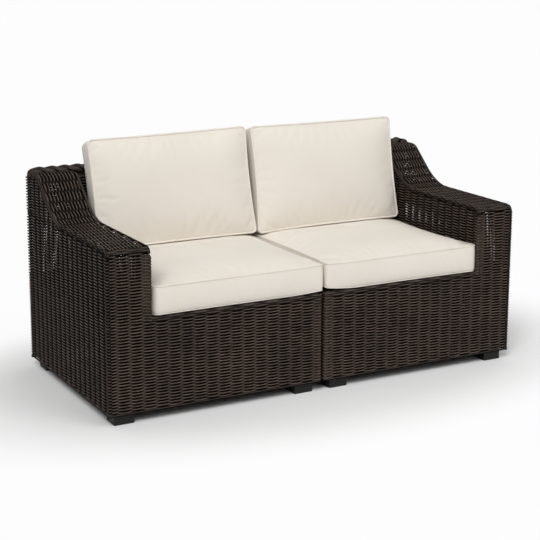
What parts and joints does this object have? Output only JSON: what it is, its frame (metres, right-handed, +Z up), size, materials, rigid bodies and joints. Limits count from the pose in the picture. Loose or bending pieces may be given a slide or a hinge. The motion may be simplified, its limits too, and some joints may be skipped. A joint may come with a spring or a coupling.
{
  "type": "patio loveseat",
  "caption": "Sectional woven patio loveseat: a left and a right module with swept arms, block feet, and loose boxed seat and back cushions.",
  "frame": {"origin": "on the ground, under the middle of the loveseat's width and depth", "axes": "+X to the right of someone facing the loveseat's front from outside it as in the picture, +Y towards the back, +Z up"},
  "size_m": [1.63, 0.762, 0.864],
  "materials": {
    "wicker": "round resin wicker, espresso brown, satin",
    "frame_aluminium": "brown powder-coated tube",
    "seat_strap": "black elastic webbing",
    "foot_plastic": "black moulded block",
    "foot_screw": "stainless steel",
    "cushion_fabric": "ivory outdoor canvas"
  },
  "bodies": {
    "left_module": {"left_front_weave": "wicker", "left_outer_side_weave": "wicker", "left_arm_inner_weave": "wicker", "left_arm_top_weave": "wicker", "left_back_outer_weave": "wicker", "left_back_inner_weave": "wicker", "left_seam_side_weave": "wicker", "left_back_top_roll": "wicker", "left_base_frame": "frame_aluminium", "left_seam_posts": "frame_aluminium", "left_arm_posts": "frame_aluminium", "left_seat_rails": "frame_aluminium", "left_outer_side_rail": "frame_aluminium", "left_arm_rail_outer": "frame_aluminium", "left_arm_rail_inner": "frame_aluminium", "left_arm_ties": "frame_aluminium", "left_back_top_rail": "frame_aluminium", "left_back_uprights": "frame_aluminium", "left_deck_ring": "frame_aluminium", "left_corner_plates": "frame_aluminium", "left_straps_lengthwise": "seat_strap", "left_straps_crosswise": "seat_strap", "left_foot_front_seam": "foot_plastic", "left_foot_front_outer": "foot_plastic", "left_foot_rear_seam": "foot_plastic", "left_foot_rear_outer": "foot_plastic", "left_foot_screws": "foot_screw"},
    "left_seat_cushion": {"left_seat_cushion": "cushion_fabric"},
    "left_back_cushion": {"left_back_cushion": "cushion_fabric"},
    "right_module": {"right_front_weave": "wicker", "right_outer_side_weave": "wicker", "right_arm_inner_weave": "wicker", "right_arm_top_weave": "wicker", "right_back_outer_weave": "wicker", "right_back_inner_weave": "wicker", "right_seam_side_weave": "wicker", "right_back_top_roll": "wicker", "right_base_frame": "frame_aluminium", "right_seam_posts": "frame_aluminium", "right_arm_posts": "frame_aluminium", "right_seat_rails": "frame_aluminium", "right_outer_side_rail": "frame_aluminium", "right_arm_rail_outer": "frame_aluminium", "right_arm_rail_inner": "frame_aluminium", "right_arm_ties": "frame_aluminium", "right_back_top_rail": "frame_aluminium", "right_back_uprights": "frame_aluminium", "right_deck_ring": "frame_aluminium", "right_corner_plates": "frame_aluminium", "right_straps_lengthwise": "seat_strap", "right_straps_crosswise": "seat_strap", "right_foot_front_seam": "foot_plastic", "right_foot_front_outer": "foot_plastic", "right_foot_rear_seam": "foot_plastic", "right_foot_rear_outer": "foot_plastic", "right_foot_screws": "foot_screw"},
    "right_seat_cushion": {"right_seat_cushion": "cushion_fabric"},
    "right_back_cushion": {"right_back_cushion": "cushion_fabric"}
  },
  "joints": [
    {"name": "module_slide", "type": "slide", "parent": "left_module", "child": "right_module", "axis": [1, 0, 0], "range_m": [0, 0.6]},
    {"name": "left_seat_cushion_pull", "type": "slide", "parent": "left_module", "child": "left_seat_cushion", "axis": [0, -1, 0], "range_m": [0, 0.45]},
    {"name": "left_back_cushion_lift", "type": "slide", "parent": "left_module", "child": "left_back_cushion", "axis": [0, 0, 1], "range_m": [0, 0.4]},
    {"name": "right_seat_cushion_pull", "type": "slide", "parent": "right_module", "child": "right_seat_cushion", "axis": [0, -1, 0], "range_m": [0, 0.45]},
    {"name": "right_back_cushion_lift", "type": "slide", "parent": "right_module", "child": "right_back_cushion", "axis": [0, 0, 1], "range_m": [0, 0.4]}
  ]
}
